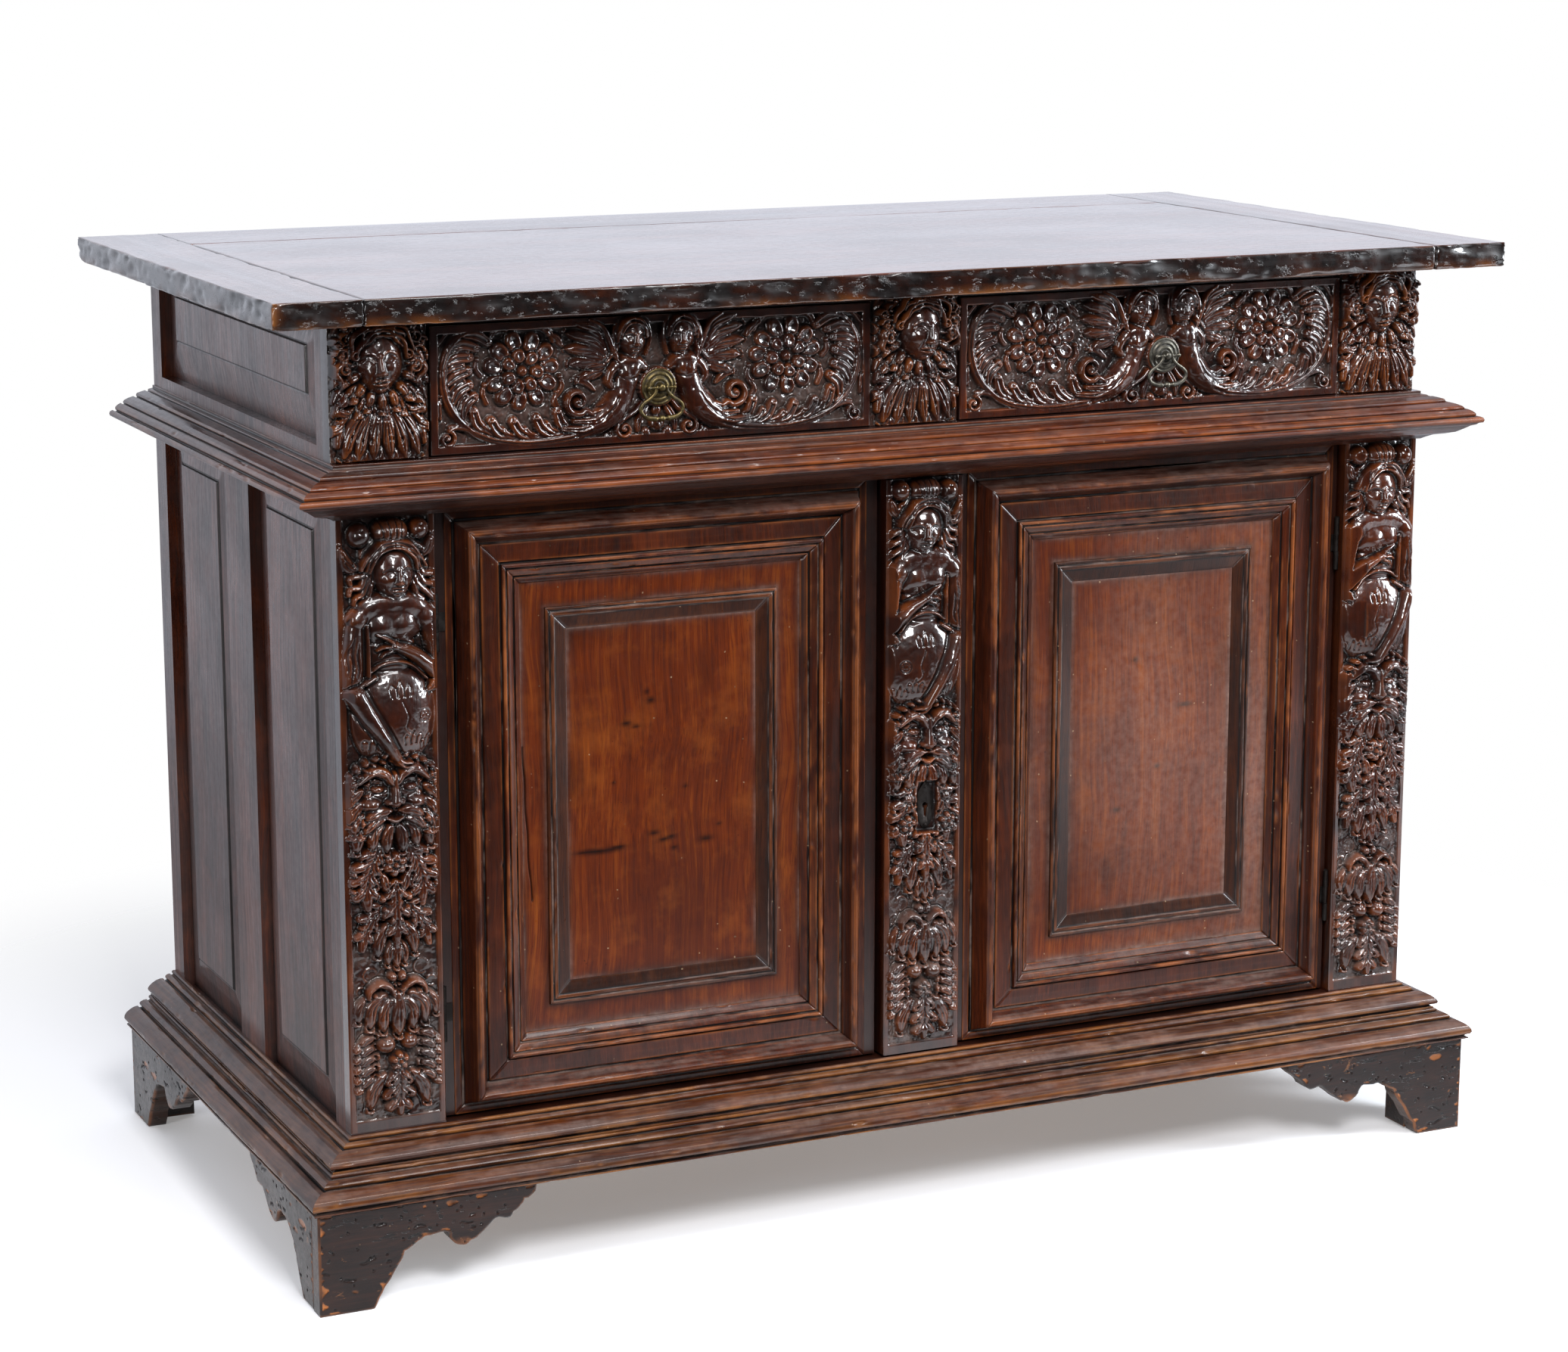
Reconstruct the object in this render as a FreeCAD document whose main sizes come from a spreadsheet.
import FreeCAD, Part
import Sketcher
import math
import os

# Carved walnut credenza, two drawers over two doors, on bracket feet.
# Frame: +Z up, front faces -Y, +X to the viewer's right, origin at the
# bottom centre of the bounding box. In the code, y runs from the ground
# plane of the pilasters (y = 0) to the back, and front_y moves it home.

V = FreeCAD.Vector
doc = FreeCAD.newDocument("Credenza")
sheet = doc.addObject("Spreadsheet::Sheet", "Dims")

DIMS = [
    ("front_y", -311.0, "frame y of the pilasters' ground plane"),
    ("total_height", 1040.0, "floor to top surface"),
    ("top_half", 719.0, "half width of the top"),
    ("top_front", -51.0, "front edge of the top"),
    ("top_back", 686.0, "back edge of the top"),
    ("top_thick", 27.0, "top board thickness"),
    ("top_joint", 552.0, "joint between the two top boards"),
    ("cleat_width", 93.0, "breadboard end width"),
    ("tongue_len", 10.0, "tongue length on the top boards"),
    ("tongue_thick", 9.0, "tongue thickness"),
    ("case_half", 644.0, "half width of the case"),
    ("case_back", 655.0, "back plane of the case"),
    ("side_thick", 22.0, "thickness of side frames"),
    ("side_sink", 5.0, "field of a side panel below its frame"),
    ("side_margin", 46.0, "bevel width of a side panel"),
    ("frieze_front", 8.0, "front plane of the frieze"),
    ("frieze_bottom", 870.0, "bottom of the frieze"),
    ("block_thick", 26.0, "head block thickness"),
    ("lblock_right", -540.0, "left head block, right edge"),
    ("cblock_left", -45.0, "centre head block, left edge"),
    ("cblock_right", 59.0, "centre head block, right edge"),
    ("rblock_left", 541.0, "right head block, left edge"),
    ("waist_top", 870.0, "top of the waist moulding"),
    ("waist_bottom", 815.0, "bottom of the waist moulding"),
    ("rail_depth", 40.0, "depth of the waist and base rails"),
    ("base_top", 170.0, "top of the base moulding"),
    ("base_split", 143.0, "between the base's two tiers"),
    ("base_bottom", 110.0, "bottom of the base moulding"),
    ("post_thick", 18.0, "pilaster thickness"),
    ("lpost_right", -540.0, "left pilaster, right edge"),
    ("rpost_left", 549.0, "right pilaster, left edge"),
    ("cpost_left", -30.0, "centre pilaster, left edge"),
    ("cpost_right", 62.0, "centre pilaster, right edge"),
    ("carve_raise", 8.0, "raised field standing for the carving"),
    ("carve_edge", 12.0, "plain border of the pilasters"),
    ("door_bottom", 172.0, "bottom edge of the doors"),
    ("door_top", 813.0, "top edge of the doors"),
    ("door_front", 14.0, "front face of the door frames"),
    ("door_back", 40.0, "back face of the door frames"),
    ("ldoor_left", -538.0, "left door, left edge"),
    ("ldoor_right", -35.0, "left door, right edge"),
    ("rdoor_right", 547.0, "right door, right edge"),
    ("lmould_left", -525.5, "left door moulding, left edge"),
    ("lmould_right", -48.0, "left door moulding, right edge"),
    ("rmould_left", 74.0, "right door moulding, left edge"),
    ("rmould_right", 541.0, "right door moulding, right edge"),
    ("frame_cover", 76.0, "frame width under the moulding"),
    ("panel_front", 12.0, "field of the door panels"),
    ("panel_thick", 14.0, "door panel thickness"),
    ("panel_groove", 6.0, "panel tongue in the frame groove"),
    ("inner_start", 107.0, "panel moulding, distance from moulding edge"),
    ("inner_width", 24.0, "panel moulding width"),
    ("hinge_y", 9.0, "hinge axis in front of the door face"),
    ("hinge_inset", 3.0, "hinge axis from the pilaster's side"),
    ("knuckle_rad", 2.8, "hinge knuckle radius"),
    ("pin_rad", 1.5, "hinge pin radius"),
    ("pin_clear", 0.05, "hinge pin running clearance"),
    ("knuckle_len", 20.0, "hinge knuckle length"),
    ("hinge_low", 255.0, "lower hinge, bottom"),
    ("hinge_high", 670.0, "upper hinge, bottom"),
    ("leaf_thick", 1.2, "hinge leaf thickness"),
    ("drawer_bottom", 871.5, "bottom of the drawer fronts"),
    ("drawer_top", 1002.5, "top of the drawer fronts"),
    ("drawer_gap", 1.5, "gap beside the drawer fronts"),
    ("drawer_thick", 22.0, "drawer front thickness with its border"),
    ("drawer_border", 6.0, "height of the border above the ground"),
    ("border_width", 9.0, "drawer border width"),
    ("drawer_end", 552.0, "back of the drawer boxes"),
    ("drawer_wall", 11.0, "drawer side thickness"),
    ("drawer_side_top", 985.0, "top of the drawer sides"),
    ("lhandle_x", -292.0, "left handle centre"),
    ("rhandle_x", 310.0, "right handle centre"),
    ("handle_z", 928.5, "height of the handles"),
    ("plate_rad", 19.0, "handle backplate radius"),
    ("bail_pin", 1.3, "bail pivot radius"),
    ("bail_rod", 1.9, "bail rod radius"),
    ("bail_half", 24.0, "half width of the bail"),
    ("bail_drop", 32.0, "drop of the bail below its pivot"),
    ("stud_rad", 3.4, "handle stud radius"),
    ("stud_len", 10.5, "handle stud length from the backplate's face"),
    ("key_x", 18.0, "keyhole"),
    ("key_z", 452.0, "keyhole height"),
    ("bolt_half", 9.0, "half height of the lock bolt"),
    ("foot_out", 56.0, "face of the feet beyond the case"),
    ("foot_len", 239.0, "length of a foot bracket"),
    ("foot_thick", 22.0, "thickness of a foot bracket"),
    ("foot_block", 40.0, "corner block size"),
    ("shelf_z", 480.0, "underside of the shelf"),
    ("board_thick", 18.0, "inner board thickness"),
]
for i, (alias, value, note) in enumerate(DIMS, 1):
    sheet.set("A%d" % i, note)
    sheet.set("B%d" % i, str(value))
    sheet.setAlias("B%d" % i, alias)
doc.recompute()


class Q:
    """A length: its expression over the sheet, and its value now."""

    def __init__(self, e, v):
        self.e, self.v = e, v

    @staticmethod
    def of(o):
        return o if isinstance(o, Q) else Q("(%.6f)" % float(o), float(o))

    def __add__(self, o):
        o = Q.of(o)
        return Q("(%s + %s)" % (self.e, o.e), self.v + o.v)

    def __radd__(self, o):
        return Q.of(o) + self

    def __sub__(self, o):
        o = Q.of(o)
        return Q("(%s - %s)" % (self.e, o.e), self.v - o.v)

    def __rsub__(self, o):
        return Q.of(o) - self

    def __mul__(self, o):
        o = Q.of(o)
        return Q("(%s * %s)" % (self.e, o.e), self.v * o.v)

    def __rmul__(self, o):
        return Q.of(o) * self

    def __neg__(self):
        return Q("(0 - %s)" % self.e, -self.v)


class Sizes:
    pass


d = Sizes()
for alias, value, note in DIMS:
    setattr(d, alias, Q("Dims.%s" % alias, float(sheet.get(alias))))

NODES = []
count = [0]


def fresh(stem):
    count[0] += 1
    return "%s_%03d" % (stem, count[0])


def node(label, obj):
    obj.Label = label
    NODES.append((label, obj))
    return obj


def place(o, x, y, z, rot=None):
    """Put an object at x, y, z in the case's own terms, bound to the sheet."""
    if rot is not None:
        o.Placement = FreeCAD.Placement(V(0, 0, 0), rot)
    o.setExpression("Placement.Base.x", Q.of(x).e)
    o.setExpression("Placement.Base.y", (d.front_y + Q.of(y)).e)
    o.setExpression("Placement.Base.z", Q.of(z).e)


def box(x0, x1, y0, y1, z0, z1):
    o = doc.addObject("Part::Box", fresh("board"))
    for prop, a, b in (("Length", x0, x1), ("Width", y0, y1), ("Height", z0, z1)):
        o.setExpression(prop, (Q.of(b) - Q.of(a)).e)
    place(o, x0, y0, z0)
    return o


ROT = {"x": FreeCAD.Rotation(V(0, 1, 0), 90),
       "y": FreeCAD.Rotation(V(1, 0, 0), 90),      # runs to the front
       "z": FreeCAD.Rotation()}


def rod(axis, r, length, x, y, z):
    o = doc.addObject("Part::Cylinder", fresh("rod"))
    o.setExpression("Radius", Q.of(r).e)
    o.setExpression("Height", Q.of(length).e)
    place(o, x, y, z, ROT[axis])
    return o


def ball(r, x, y, z):
    o = doc.addObject("Part::Sphere", fresh("ball"))
    o.setExpression("Radius", Q.of(r).e)
    place(o, x, y, z)
    return o


def fuse(*items):
    o = doc.addObject("Part::MultiFuse", fresh("fuse"))
    o.Shapes = list(items)
    return o


def cut(base, *tools):
    o = doc.addObject("Part::Cut", fresh("cut"))
    o.Base = base
    o.Tool = tools[0] if len(tools) == 1 else group(*tools)
    return o


def group(*items):
    o = doc.addObject("Part::Compound", fresh("group"))
    o.Links = list(items)
    return o


def outline(body, role, pts):
    """A closed sketch through pts, every vertex bound to the sheet."""
    sk = body.newObject("Sketcher::SketchObject", fresh("outline"))
    sk.AttachmentSupport = [(f, "") for f in body.Origin.OriginFeatures if f.Role == role]
    sk.MapMode = "FlatFace"
    n = len(pts)
    pts = [(Q.of(a), Q.of(b)) for a, b in pts]
    for i in range(n):
        a, b = pts[i], pts[(i + 1) % n]
        sk.addGeometry(Part.LineSegment(V(a[0].v, a[1].v, 0), V(b[0].v, b[1].v, 0)), False)
    for i in range(n):
        sk.addConstraint(Sketcher.Constraint("Coincident", i, 2, (i + 1) % n, 1))
    for i in range(n):
        for k, kind in ((0, "DistanceX"), (1, "DistanceY")):
            q = pts[i][k]
            if abs(q.v) < 1e-9:
                sk.addConstraint(Sketcher.Constraint("PointOnObject", i, 1, -2 if k == 0 else -1))
            else:
                j = sk.addConstraint(Sketcher.Constraint(kind, -1, 1, i, 1, q.v))
                sk.setExpression("Constraints[%d]" % j, q.e)
    return sk


def padded(role, pts, length, reverse=False):
    body = doc.addObject("PartDesign::Body", fresh("body"))
    sk = outline(body, role, pts)
    pad = body.newObject("PartDesign::Pad", fresh("pad"))
    pad.Profile = sk
    pad.setExpression("Length", Q.of(length).e)
    pad.Reversed = reverse
    return body


def bar(a, b):
    """A closed solid between two end outlines of equal count (mitred bar)."""
    n = len(a)
    faces = [Part.Face(Part.makePolygon(a + [a[0]])), Part.Face(Part.makePolygon(b + [b[0]]))]
    for i in range(n):
        j = (i + 1) % n
        faces.append(Part.Face(Part.makePolygon([a[i], a[j], b[j], b[i], a[i]])))
    s = Part.Solid(Part.Shell(faces))
    if s.Volume < 0:
        s.reverse()
    return s


def shaped(solids):
    o = doc.addObject("Part::Feature", fresh("bars"))
    o.Shape = solids[0] if len(solids) == 1 else Part.makeCompound(solids)
    o.setExpression("Placement.Base.y", d.front_y.e)
    return o


def tube(path, sides=8):
    """A closed faceted tube in the xz plane through (x, z, radius) points."""
    rings = []
    n = len(path)
    for i, (x, z, rad) in enumerate(path):
        x0, z0, r0 = path[max(i - 1, 0)]
        x1, z1, r1 = path[min(i + 1, n - 1)]
        t = V(x1 - x0, 0, z1 - z0)
        t.normalize()
        m = V(-t.z, 0, t.x)
        rings.append([V(x, 0, z) + m * (rad * math.cos(math.pi * (2 * j + 1) / sides))
                      + V(0, rad * math.sin(math.pi * (2 * j + 1) / sides), 0) for j in range(sides)])
    faces = [Part.Face(Part.makePolygon(rings[0] + [rings[0][0]])), Part.Face(Part.makePolygon(rings[-1] + [rings[-1][0]]))]
    for a, b in zip(rings, rings[1:]):
        for j in range(sides):
            k = (j + 1) % sides
            faces.append(Part.Face(Part.makePolygon([a[j], a[k], b[k], a[j]])))
            faces.append(Part.Face(Part.makePolygon([a[j], b[k], b[j], a[j]])))
    sh = Part.Shell(faces)
    sh.sewShape()
    sol = Part.Solid(sh)
    if sol.Volume < 0:
        sol.reverse()
    return sol


# ---------------------------------------------------------------- top
yj = d.top_joint
t0 = d.total_height - d.top_thick
ta = (d.top_thick - d.tongue_thick) * 0.5
inner = d.top_half - d.cleat_width
for label, y0, y1 in (("top_board_front", d.top_front, yj), ("top_board_rear", yj, d.top_back)):
    pts = [(-inner, 0), (inner, 0), (inner, ta), (inner + d.tongue_len, ta),
           (inner + d.tongue_len, ta + d.tongue_thick), (inner, ta + d.tongue_thick),
           (inner, d.top_thick), (-inner, d.top_thick), (-inner, ta + d.tongue_thick),
           (-inner - d.tongue_len, ta + d.tongue_thick), (-inner - d.tongue_len, ta), (-inner, ta)]
    b = padded("XZ_Plane", pts, y1 - y0, True)
    place(b, 0, y0, t0)
    node(label, b)
for label, sgn in (("top_cleat_left", -1), ("top_cleat_right", 1)):
    g = d.tongue_len
    pts = [(0, 0), (sgn * d.cleat_width, 0), (sgn * d.cleat_width, d.top_thick), (0, d.top_thick),
           (0, ta + d.tongue_thick), (sgn * g, ta + d.tongue_thick), (sgn * g, ta), (0, ta)]
    b = padded("XZ_Plane", pts, d.top_back - d.top_front, True)
    place(b, sgn * inner, d.top_front, t0)
    node(label, b)

# ---------------------------------------------------------------- frieze
ff, fb = d.frieze_front, d.frieze_bottom
for label, x0, x1 in (("head_block_left", -d.case_half, d.lblock_right),
                      ("head_block_center", d.cblock_left, d.cblock_right),
                      ("head_block_right", d.rblock_left, d.case_half)):
    xm = (x0 + x1) * 0.5
    node(label, fuse(box(x0, x1, ff, ff + d.block_thick, fb, t0),
                     ball(26, xm, ff - 1, fb + 98),
                     box(x0 + 10, x1 - 10, ff - 9, ff, fb + 8, fb + 62)))
rails = [box(d.lblock_right, d.cblock_left, ff + 3, ff + d.block_thick, d.drawer_top + 1.5, t0),
         box(d.cblock_right, d.rblock_left, ff + 3, ff + d.block_thick, d.drawer_top + 1.5, t0)]


def framed(x0, sgn, y_open, z_open, stiles, z0, z1, name_frame, name_panel):
    """A framed end: stiles, rails and bevelled panels in grooves.
    x0 is the outer plane, sgn points inward."""
    xi = x0 + sgn * d.side_thick
    lo, hi = (x0, xi) if sgn > 0 else (xi, x0)
    members = [box(lo, hi, a, b, z0, z1) for a, b in stiles]
    for a, b in y_open:
        members.append(box(lo, hi, a, b, z0, z_open[0]))
        members.append(box(lo, hi, a, b, z_open[1], z1))
    grooves, panels = [], []
    for a, b in y_open:
        g0, g1 = x0 + sgn * 13, x0 + sgn * 20
        glo, ghi = (g0, g1) if sgn > 0 else (g1, g0)
        grooves.append(box(glo, ghi, a - 7, b + 7, z_open[0] - 7, z_open[1] + 7))
        back = box(glo, ghi, a - 6.5, b + 6.5, z_open[0] - 6.5, z_open[1] + 6.5)
        w = doc.addObject("Part::Wedge", fresh("field"))
        rise = 13 - d.side_sink
        m, mt = d.side_margin, d.side_margin * (0.45 if name_panel.startswith("frieze") else 1.0)
        zz, yy = z_open[1] - z_open[0], b - a
        vals = {"Xmin": Q.of(0), "Xmax": zz, "Ymin": Q.of(0), "Ymax": rise, "Zmin": Q.of(0), "Zmax": yy,
                "X2min": m, "X2max": zz - mt, "Z2min": m, "Z2max": yy - m}
        for prop, q in vals.items():
            w.setExpression(prop, Q.of(q).e)
        # wedge axes: X -> z, Y -> outward, Z -> y (left end) or its mirror
        if sgn > 0:
            mat = FreeCAD.Matrix(0, -1, 0, 0, 0, 0, -1, 0, 1, 0, 0, 0, 0, 0, 0, 1)
            place(w, g0, b, z_open[0], FreeCAD.Placement(mat).Rotation)
        else:
            mat = FreeCAD.Matrix(0, 1, 0, 0, 0, 0, 1, 0, 1, 0, 0, 0, 0, 0, 0, 1)
            place(w, g0, a, z_open[0], FreeCAD.Placement(mat).Rotation)
        panels.append(fuse(back, w))
    node(name_frame, cut(group(*members), *grooves))
    node(name_panel, panels[0] if len(panels) == 1 else group(*panels))


fstile = [(ff + d.block_thick, Q.of(55)), (Q.of(621), d.case_back)]
fopen = [(Q.of(55), Q.of(621))]
pstile = [(d.post_thick, Q.of(49)), (Q.of(297), Q.of(385)), (Q.of(617), d.case_back)]
popen = [(Q.of(49), Q.of(297)), (Q.of(385), Q.of(617))]
for side, x0, sgn in (("left", -d.case_half, 1), ("right", d.case_half, -1)):
    framed(x0, sgn, fopen, (fb + 13, t0 - 13), fstile, fb, t0,
           "frieze_frame_" + side, "frieze_panel_" + side)
    framed(x0, sgn, popen, (Q.of(160), Q.of(836)), pstile, Q.of(112), fb,
           "side_frame_" + side, "side_panels_" + side)

# ---------------------------------------------------------------- inside
xi = d.case_half - d.side_thick
yb = d.case_back - 15
node("inner_boards", group(
    box(-xi, xi, d.rail_depth, yb, fb - d.board_thick, fb),
    box(-xi, xi, d.rail_depth + 2, yb, d.base_top - 1 - d.board_thick, d.base_top - 1)))
gz = fb + 34
node("drawer_guides", group(
    box(Q.of(-5), Q.of(19), ff + d.block_thick, yb, fb, t0),
    box(d.lblock_right - 13, d.lblock_right + 1, ff + d.block_thick, yb, fb, gz),
    box(d.cblock_left - 1, d.cblock_left + 13, ff + d.block_thick, yb, fb, gz),
    box(d.cblock_right - 13, d.cblock_right + 1, ff + d.block_thick, yb, fb, gz),
    box(d.rblock_left - 1, d.rblock_left + 13, ff + d.block_thick, yb, fb, gz)))
node("shelf", group(box(-xi + 0.5, xi - 0.5, Q.of(75), yb, d.shelf_z, d.shelf_z + d.board_thick),
                    box(-xi, -xi + 20, Q.of(75), yb - 20, d.shelf_z - 22, d.shelf_z),
                    box(xi - 20, xi, Q.of(75), yb - 20, d.shelf_z - 22, d.shelf_z)))
boards = []
edges = [-622.0, -372.0, -130.0, 116.0, 368.0, 622.0]
for k in range(5):
    boards.append(box(Q.of(edges[k]) + (0.6 if k else 0), Q.of(edges[k + 1]), yb, d.case_back, Q.of(112), t0))
node("back_boards", group(*boards))
rails.append(box(d.lpost_right, d.rpost_left, Q.of(0), d.rail_depth, d.waist_bottom, fb))
rails.append(box(d.lpost_right, d.rpost_left, Q.of(0), d.rail_depth, Q.of(112), d.base_top - 1))
node("front_rails", group(*rails))

# ---------------------------------------------------------------- pilasters
for label, x0, x1 in (("pilaster_left", -d.case_half, d.lpost_right),
                      ("pilaster_right", d.rpost_left, d.case_half)):
    node(label, fuse(box(x0, x1, Q.of(0), d.post_thick, Q.of(112), fb),
                     box(x0 + d.carve_edge, x1 - d.carve_edge, -d.carve_raise, Q.of(0),
                         d.base_top + 22, d.waist_bottom - 4)))

# ---------------------------------------------------------------- mouldings
H = d.case_half.v
WAIST = [(0, 0.0), (2, 0.0), (2, 4.0), (8, 5.2), (16, 7.5), (24, 9.6), (26, 12.0), (34, 13.6), (41, 16.6),
         (46, 20.2), (48.5, 24.0), (50, 25.4), (53, 27.2), (54, 29.6), (53, 32.0), (48, 33.6), (43, 36.4),
         (38, 40.4), (31, 44.6), (22, 47.4), (13, 49.6), (7, 52.6), (3, 55.0), (0, 55.0)]
UPPER = [(0, 0.0), (3, 0.0), (3.6, 2.6), (8, 3.4), (13, 4.4), (15, 6.2), (21, 7.8), (27, 10.2), (32, 13.4),
         (34.6, 16.6), (34.8, 19.0), (33, 21.4), (30.5, 23.4), (29.4, 25.4), (29.2, 27.0), (0, 27.0)]
LOWER = [(0, 0.0), (30, 0.0), (33.6, 1.0), (39, 3.4), (45, 6.0), (47, 8.4), (50, 11.0), (55, 13.4), (60, 15.6),
         (62.8, 18.6), (64, 22.4), (63, 26.4), (60.6, 29.4), (59, 33.0), (0, 33.0)]


def run_of(label, profile, ztop):
    """Front bar mitred into two side bars, from an outline of overhang and drop."""
    yend = d.case_back.v
    a = [V(-H - o, -o, ztop - z) for o, z in profile]
    b = [V(H + o, -o, ztop - z) for o, z in profile]
    node(label + "_front", shaped([bar(a, b)]))
    for side, s in (("_left", -1), ("_right", 1)):
        a = [V(s * (H + o), -o, ztop - z) for o, z in profile]
        b = [V(s * (H + o), yend, ztop - z) for o, z in profile]
        node(label + side, shaped([bar(a, b)]))


run_of("waist_moulding", WAIST, d.waist_top.v)
run_of("base_upper", UPPER, d.base_top.v)
run_of("base_lower", LOWER, d.base_split.v)

# ---------------------------------------------------------------- feet
# outline of a bracket: post, arch, hanging lobe and stepped end, as parts of
# its length and height
FOOT = [(0.0, 0.0), (0.245, 0.0), (0.29, 0.17), (0.343, 0.36), (0.393, 0.52), (0.45, 0.61), (0.53, 0.645),
        (0.575, 0.645), (0.593, 0.565), (0.618, 0.50), (0.655, 0.472), (0.70, 0.51), (0.755, 0.59),
        (0.79, 0.675), (0.82, 0.715), (0.85, 0.685), (0.88, 0.69), (0.913, 0.785), (0.95, 0.84),
        (0.993, 0.91), (1.0, 1.0), (0.0, 1.0)]
fo = d.case_half + d.foot_out


def bracket(role, sgn, length, lead, x, y, reverse):
    pts = [(sgn * (length * f - (lead if f == 0 else 0)), d.base_bottom * h) for f, h in FOOT]
    b = padded(role, pts, d.foot_thick, reverse)
    place(b, x, y, 0)
    return b


for fx, sx in (("left", -1), ("right", 1)):
    # front foot: face bracket over the end of the side bracket
    face = bracket("XZ_Plane", -sx, d.foot_len, Q.of(0), sx * fo, -d.foot_out, True)
    pts = [(d.foot_len * f if f > 0 else Q.of(0) + d.foot_thick, d.base_bottom * h) for f, h in FOOT]
    end = padded("YZ_Plane", pts, d.foot_thick, sx > 0)
    place(end, sx * fo, -d.foot_out, 0)
    pts = [(-(d.foot_len * f), d.base_bottom * h) for f, h in FOOT]
    rear = padded("YZ_Plane", pts, d.foot_thick, sx > 0)
    place(rear, sx * fo, d.case_back, 0)
    xa = sx * (fo - d.foot_thick)
    xb = sx * (fo - d.foot_thick - d.foot_block)
    xlo, xhi = (xa, xb) if sx < 0 else (xb, xa)
    y0 = d.foot_thick - d.foot_out
    node("foot_front_" + fx, group(face, end, box(xlo, xhi, y0, y0 + d.foot_block, Q.of(2), d.base_bottom)))
    node("foot_rear_" + fx, group(rear, box(xlo, xhi, d.case_back - d.foot_block, d.case_back, Q.of(2), d.base_bottom)))

# ---------------------------------------------------------------- doors
# bolection outline: distance from the moulding's outer edge, and y
OUTER = [(0, 14.0), (0, 13.0), (9, 13.0), (10, 11.0), (12.5, 8.0), (14.5, 3.0), (16.5, -4.0), (18.5, -9.5),
         (21, -11.8), (24, -11.5), (26.3, -9.0), (28, -4.5), (30, -0.6), (33, 2.2), (35.5, 3.2), (57, 2.4),
         (57, -1.0), (60.5, -1.0), (62, 1.0), (66, 2.6), (70, 4.6), (73, 8.0), (77, 9.6), (79.5, 11.0),
         (79.5, 12.0), (76, 12.0), (76, 14.0)]
INNER = [(0, 0.0), (0.6, -3.6), (3, -4.0), (4, -2.4), (5, -2.6), (6.2, -4.0), (9, -3.8), (10, -2.6), (23, -0.4), (24, 0.0)]


def ring(profile, x0, x1, z0, z1, dy=0.0):
    """Four mitred bars round a rectangle."""
    solids = []
    tl = [V(x0 + s, y + dy, z1 - s) for s, y in profile]
    tr = [V(x1 - s, y + dy, z1 - s) for s, y in profile]
    br = [V(x1 - s, y + dy, z0 + s) for s, y in profile]
    bl = [V(x0 + s, y + dy, z0 + s) for s, y in profile]
    for a, b in ((tl, tr), (tr, br), (br, bl), (bl, tl)):
        solids.append(bar(a, b))
    return solids


def hinge(sgn, face, reach):
    """Both halves of a barrel hinge pair; face is the pilaster's side,
    sgn points from it to the door, reach is the length of the door's leaf."""
    ax = face + sgn * d.hinge_inset
    k = d.knuckle_len
    fixed, moving = [], []
    for z0 in (d.hinge_low, d.hinge_high):
        lo, hi = (face, face + d.leaf_thick) if sgn > 0 else (face - d.leaf_thick, face)
        fixed.append(fuse(box(lo, hi, d.hinge_y + 3.4, d.hinge_y + 8.8, z0, z0 + k * 3),
                          box(lo, hi, d.hinge_y, d.hinge_y + 3.4, z0, z0 + k),
                          box(lo, hi, d.hinge_y, d.hinge_y + 3.4, z0 + k * 2, z0 + k * 3),
                          rod("z", d.knuckle_rad, k, ax, d.hinge_y, z0),
                          rod("z", d.knuckle_rad, k, ax, d.hinge_y, z0 + k * 2),
                          rod("z", d.pin_rad, k * 3, ax, d.hinge_y, z0)))
        # the moving knuckle and its leaf clear the fixed leaf
        a, b = (ax - 0.9, ax + reach) if sgn > 0 else (ax - reach, ax + 0.9)
        c, e = (ax - 0.9, ax + 2.5) if sgn > 0 else (ax - 2.5, ax + 0.9)
        body = fuse(rod("z", d.knuckle_rad - 0.6, k - 0.8, ax, d.hinge_y, z0 + k + 0.4),
                    box(c, e, d.hinge_y + 0.5, d.door_front, z0 + k + 0.4, z0 + k * 2 - 0.4),
                    box(a, b, d.door_front - d.leaf_thick, d.door_front, z0 + k + 0.4, z0 + k * 2 - 0.4))
        moving.append(cut(body, rod("z", d.pin_rad + d.pin_clear, k, ax, d.hinge_y, z0 + k)))
    return group(*fixed), group(*moving)


fixed, moving = hinge(1, d.lpost_right, 11)
node("left_hinges_case", fixed)
node("left_hinges_door", moving)
fixed, moving = hinge(-1, d.rpost_left, 4.6)
node("right_hinges_case", fixed)
node("right_hinges_door", moving)

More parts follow.
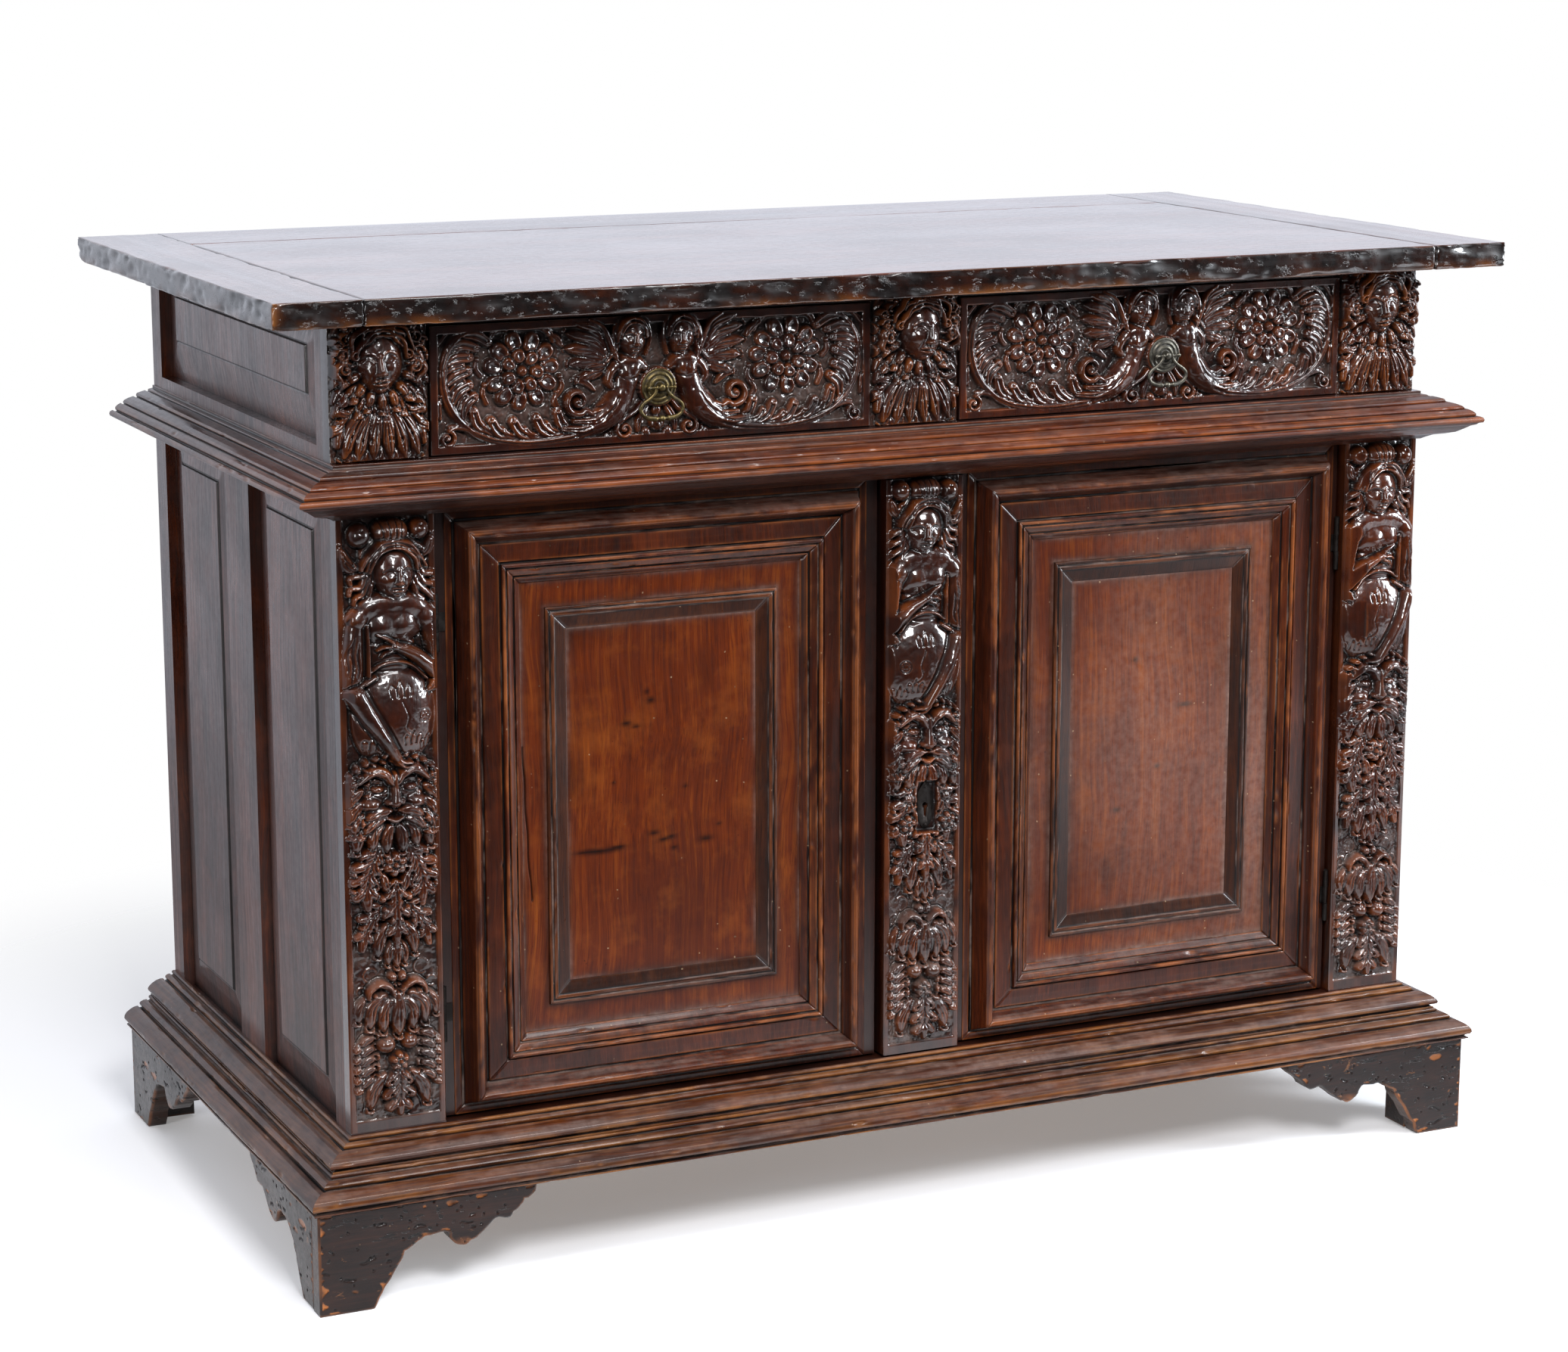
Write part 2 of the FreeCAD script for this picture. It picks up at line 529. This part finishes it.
y0, y1 = d.door_front, d.door_back
for side, xl, xr, ml, mr in (("left", d.ldoor_left, d.ldoor_right, d.lmould_left, d.lmould_right),
                             ("right", d.cpost_left, d.rdoor_right, d.rmould_left, d.rmould_right)):
    c = d.frame_cover
    zb, zt = d.door_bottom, d.door_top
    members = group(box(xl, ml + c, y0, y1, zb, zt), box(mr - c, xr, y0, y1, zb, zt),
                    box(ml + c, mr - c, y0, y1, zb, zb + c), box(ml + c, mr - c, y0, y1, zt - c, zt))
    g = d.panel_groove
    py = d.panel_front
    tools = [box(ml + c - g - 0.5, mr - c + g + 0.5, py + 8, py + d.panel_thick + 0.2,
                 zb + c - g - 0.5, zt - c + g + 0.5)]
    if side == "left":
        # mortise for the lock bolt in the meeting edge
        tools.append(box(xr - 16, xr + 1, Q.of(25), Q.of(35), d.key_z - d.bolt_half - 1, d.key_z + d.bolt_half + 1))
    else:
        tools.append(box(xl - 1, xl + 74, Q.of(20), y1 + 1, d.key_z - 40, d.key_z + 40))
        tools.append(rod("y", Q.of(4.0), Q.of(40), d.key_x, y1, d.key_z))
        tools.append(box(d.key_x - 1.8, d.key_x + 1.8, y0 - 1, y1, d.key_z - 15, d.key_z))
    node(side + "_door_frame", cut(members, *tools))
    node(side + "_door_panel", fuse(
        box(ml + c, mr - c, py, py + d.panel_thick, zb + c, zt - c),
        box(ml + c - g, mr - c + g, py + 8.5, py + d.panel_thick - 0.3, zb + c - g, zt - c + g)))
    node(side + "_door_moulding", shaped(ring(OUTER, ml.v, mr.v, zb.v, zt.v)))
    s = d.inner_start.v
    node(side + "_door_panel_moulding", shaped(ring(INNER, ml.v + s, mr.v - s, zb.v + s, zt.v - s, py.v)))

key = [rod("y", Q.of(4.0), Q.of(60), d.key_x, d.door_front + 10, d.key_z),
       box(d.key_x - 1.8, d.key_x + 1.8, Q.of(-40), d.door_front + 8, d.key_z - 15, d.key_z)]
cp = fuse(box(d.cpost_left, d.cpost_right, Q.of(0), d.door_front, d.door_bottom, d.door_top),
          box(d.cpost_left + d.carve_edge, d.cpost_right - d.carve_edge, -d.carve_raise, Q.of(0),
              d.door_bottom + 22, d.key_z - 32),
          box(d.cpost_left + d.carve_edge, d.cpost_right - d.carve_edge, -d.carve_raise, Q.of(0),
              d.key_z + 34, d.door_top - 4))
node("pilaster_center", cut(cp, *key))
esc = box(d.key_x - 11, d.key_x + 11, Q.of(-1.6), Q.of(0), d.key_z - 27, d.key_z + 27)
node("escutcheon", cut(esc, rod("y", Q.of(3.4), Q.of(10), d.key_x, 3, d.key_z),
                       box(d.key_x - 1.5, d.key_x + 1.5, Q.of(-4), Q.of(3), d.key_z - 13, d.key_z)))

# mortise lock: box in the stile, with a bolt that shoots to the left
lx0, lx1 = d.cpost_left, d.cpost_left + 74
lc = cut(box(lx0, lx1, Q.of(20), y1, d.key_z - 40, d.key_z + 40),
         box(lx0 + 3, lx1 - 3, Q.of(22), y1 - 2, d.key_z - 37, d.key_z + 37),
         box(lx0 - 1, lx0 + 4, Q.of(25.6), Q.of(34.4), d.key_z - d.bolt_half - 0.4, d.key_z + d.bolt_half + 0.4),
         rod("y", Q.of(3.6), Q.of(8), d.key_x, 26, d.key_z),
         box(d.key_x - 1.6, d.key_x + 1.6, Q.of(18), Q.of(24), d.key_z - 13.5, d.key_z))
node("lock_case", lc)
node("lock_bolt", fuse(box(lx0 + 0.6, lx0 + 40, Q.of(26), Q.of(34), d.key_z - d.bolt_half, d.key_z + d.bolt_half),
                       box(lx0 + 40, lx0 + 58, Q.of(27), Q.of(33), d.key_z - d.bolt_half, d.key_z - 3)))

# ---------------------------------------------------------------- drawers
for side, xl, xr, hx in (("left", d.lblock_right, d.cblock_left, d.lhandle_x),
                         ("right", d.cblock_right, d.rblock_left, d.rhandle_x)):
    a, b = xl + d.drawer_gap, xr - d.drawer_gap
    zb, zt = d.drawer_bottom, d.drawer_top
    w, g = d.border_width, ff + d.drawer_border
    back = ff + d.drawer_thick
    front = fuse(box(a, b, g, back, zb, zt),
                 box(a, b, ff, g, zb, zb + w), box(a, b, ff, g, zt - w, zt),
                 box(a, a + w, ff, g, zb + w, zt - w), box(b - w, b, ff, g, zb + w, zt - w),
                 rod("y", Q.of(32), Q.of(12), a + 90, g, (zb + zt) * 0.5 + 4),
                 rod("y", Q.of(32), Q.of(12), b - 90, g, (zb + zt) * 0.5 + 4),
                 box(hx - 150, hx - 24, ff - 3, g, zb + 12, zt - 12),
                 box(hx + 24, hx + 150, ff - 3, g, zb + 12, zt - 12),
                 rod("y", d.plate_rad + 2, g - 3, hx, g, d.handle_z))
    node(side + "_drawer_front", front)
    # box behind the front: two sides and a back, the bottom let in between
    sa, sb = a + 1.5, b - 1.5
    t = d.drawer_wall
    st = d.drawer_side_top
    node(side + "_drawer_box", group(box(sa, sa + t, back, d.drawer_end, zb - 0.5, st),
                                     box(sb - t, sb, back, d.drawer_end, zb - 0.5, st),
                                     box(sa + t, sb - t, d.drawer_end - t, d.drawer_end, zb - 0.5, st),
                                     box(sa + t, sb - t, back, d.drawer_end - t, zb + 3, zb + 11)))
    # ringed backplate with a stud that carries the bail's cross pin
    py = Q.of(3)
    ay = py - 8
    plate = fuse(rod("y", d.plate_rad, Q.of(1.6), hx, py, d.handle_z),
                 rod("y", d.plate_rad - 3.2, Q.of(2.6), hx, py, d.handle_z),
                 rod("y", Q.of(9.5), Q.of(3.4), hx, py, d.handle_z),
                 rod("y", d.stud_rad, d.stud_len, hx, py, d.handle_z))
    node(side + "_handle_plate", cut(plate, rod("x", d.bail_pin + 0.05, Q.of(12), hx - 6, ay, d.handle_z)))
    hw, dr, r = d.bail_half, d.bail_drop, d.bail_rod
    parts = [rod("x", d.bail_pin, Q.of(28), hx - 14, ay, d.handle_z),
             ball(Q.of(2.3), hx - 14, ay, d.handle_z), ball(Q.of(2.3), hx + 14, ay, d.handle_z),
             rod("x", Q.of(2.7), Q.of(2.6), hx + 4.1, ay, d.handle_z),
             rod("x", Q.of(2.7), Q.of(2.6), hx - 6.7, ay, d.handle_z)]
    half = [(5.4, 0.4, 1.0), (6.4, 3.4, 1.0), (9.0, 7.0, 1.0), (13.5, 11.0, 1.0), (19.2, 14.6, 1.0), (22.8, 18.4, 1.0),
            (23.4, 22.6, 1.0), (21.4, 26.8, 1.05), (17.2, 30.0, 1.15), (12.0, 31.6, 1.35), (6.5, 32.0, 1.5),
            (3.6, 32.0, 0.95), (2.4, 32.0, 1.5)]
    path = [(-u, w_, k) for u, w_, k in half] + [(u, w_, k) for u, w_, k in reversed(half)]
    path = [(u * hw.v / 24.0, -w_ * dr.v / 32.0, k * r.v) for u, w_, k in path]
    arms = shaped([tube(path)])
    place(arms, hx, ay, d.handle_z)
    parts.append(arms)
    node(side + "_bail", fuse(*parts))

# ---------------------------------------------------------------- write
doc.recompute()
bad = []
for o in doc.Objects:
    if "Invalid" in o.State or "Error" in o.State:
        bad.append(o.Name)
for label, o in NODES:
    if o.Shape.isNull() or not o.Shape.isValid() or not o.Shape.Solids:
        bad.append(label)
if bad:
    raise RuntimeError("failed: " + ", ".join(bad))
if len(NODES) > 60 or len(set(n for n, o in NODES)) != len(NODES):
    raise RuntimeError("node names")
os.makedirs("parts", exist_ok=True)
for label, o in NODES:
    o.Shape.exportStep("parts/%s.step" % label)
    bb = o.Shape.BoundBox
    print("%-26s solids %d vol %.0f x %.1f..%.1f y %.1f..%.1f z %.1f..%.1f" % (
        label, len(o.Shape.Solids), o.Shape.Volume, bb.XMin, bb.XMax, bb.YMin, bb.YMax, bb.ZMin, bb.ZMax))
print("nodes", len(NODES))
